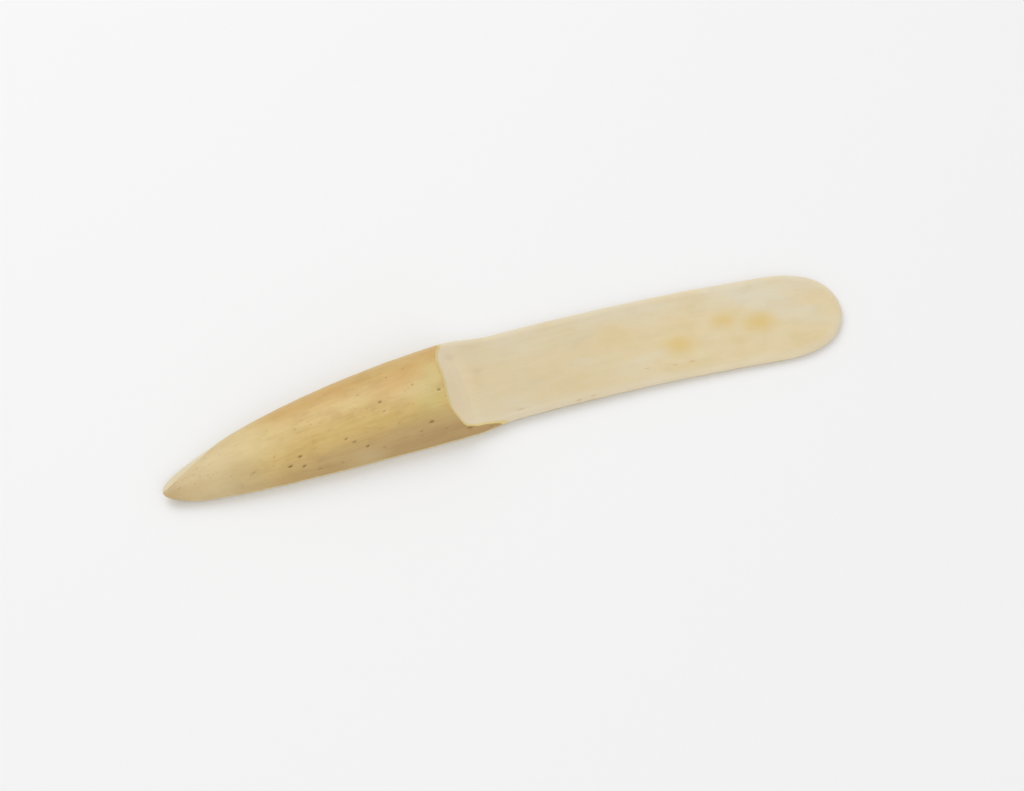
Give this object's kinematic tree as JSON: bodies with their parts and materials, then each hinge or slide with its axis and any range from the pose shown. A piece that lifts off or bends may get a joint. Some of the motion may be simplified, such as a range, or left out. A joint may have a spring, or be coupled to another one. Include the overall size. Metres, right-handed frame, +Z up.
{
  "type": "bone folder",
  "caption": "Hand-carved bone folder: a domed handle with a blunt pointed tip, a scooped shoulder, and a thin flat creasing blade with a rounded end",
  "frame": {"origin": "centre of the bounding box in plan, on the flat back that the tool rests on", "axes": "+X runs from the tip of the handle to the round end of the blade, +Y across the tool towards the outside of its bow, +Z up out of the flat back"},
  "size_m": [0.1802, 0.0302, 0.0104],
  "materials": {
    "outer_bone": "natural outer surface of aged bone, yellow-brown with open pores, satin from handling",
    "inner_bone": "dressed inner bone, cream with pale yellow stains, filed flat and polished satin"
  },
  "bodies": {
    "root": {"handle": "outer_bone", "blade": "inner_bone"}
  },
  "joints": []
}
